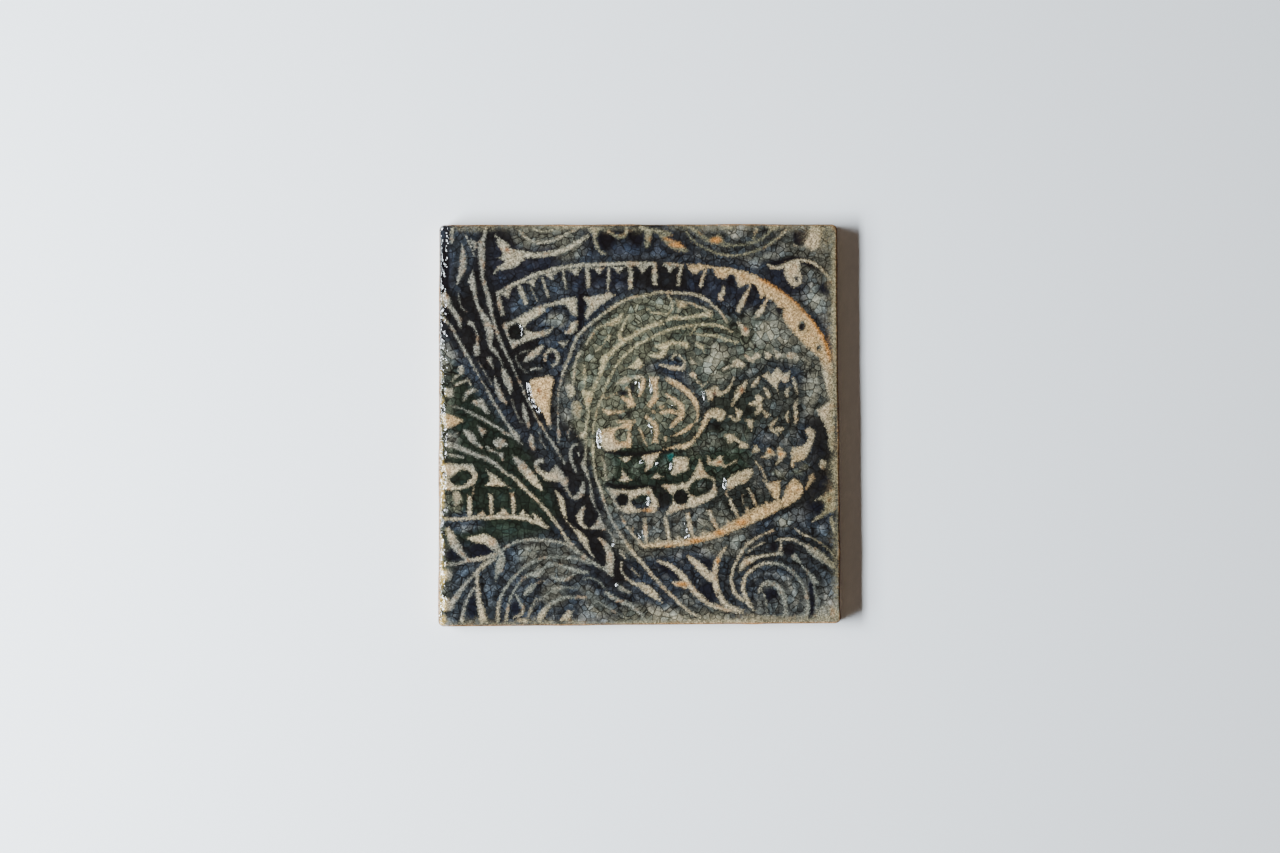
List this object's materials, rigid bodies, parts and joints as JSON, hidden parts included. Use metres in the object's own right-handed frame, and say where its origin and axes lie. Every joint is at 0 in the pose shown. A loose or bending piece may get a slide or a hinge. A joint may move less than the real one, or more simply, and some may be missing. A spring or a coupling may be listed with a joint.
{
  "type": "stamped pottery tile",
  "caption": "Square hand-pressed pottery tile with a raised paisley pattern under a crackled, dark-pooling glaze; plain flat back for bedding on adhesive.",
  "frame": {"origin": "centre of the back face, on the plane that the tile lies on", "axes": "+Z out of the stamped face, +Y towards the edge that is uppermost in the picture, +X to its right"},
  "size_m": [0.1006, 0.1006, 0.008],
  "materials": {
    "glazed_clay": "glossy crackle glaze, cream on the lands and blue-black in the ground, bare buff clay on the sides and back"
  },
  "bodies": {
    "root": {"stamped_tile": "glazed_clay"}
  },
  "joints": []
}
